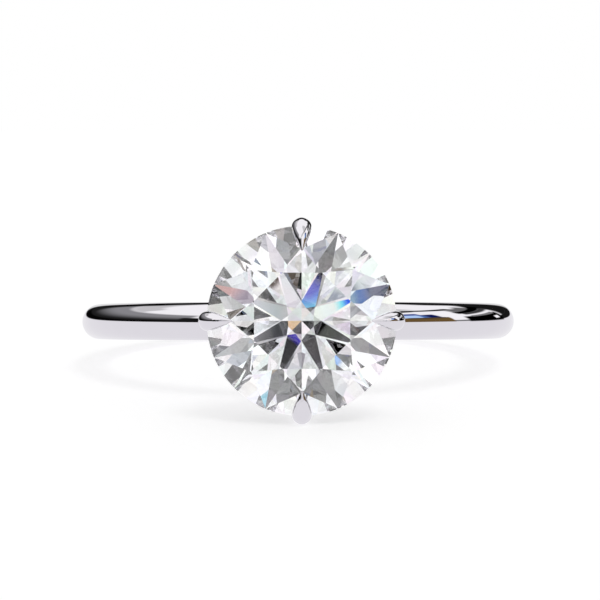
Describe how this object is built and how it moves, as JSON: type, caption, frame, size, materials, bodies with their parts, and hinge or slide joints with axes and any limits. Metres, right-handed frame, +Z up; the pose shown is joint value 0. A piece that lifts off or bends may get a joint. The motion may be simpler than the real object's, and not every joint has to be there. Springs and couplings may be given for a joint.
{
  "type": "solitaire engagement ring",
  "caption": "Solitaire engagement ring: a thin rounded white-metal band with a pointed-claw basket head holding a round brilliant stone.",
  "frame": {"origin": "centre of the underside of the object's box, on the surface that the ring lies on", "axes": "+Z up from that surface, which the ring lies on with its finger axis leaning 7.9 degrees back from upright; the stone faces -Y and is tilted up by the same 7.9 degrees; +X to the right seen from the stone's side"},
  "size_m": [0.02, 0.025, 0.0079],
  "materials": {
    "polished_band": "high-polish white metal",
    "polished_head": "high-polish white metal",
    "cut_stone": "faceted, polished, colourless"
  },
  "bodies": {
    "root": {"shank": "polished_band", "head_foot": "polished_head", "lower_gallery_rail": "polished_head", "upper_gallery_rail": "polished_head", "claw_north": "polished_head", "claw_east": "polished_head", "claw_south": "polished_head", "claw_west": "polished_head", "diamond": "cut_stone"}
  },
  "joints": []
}
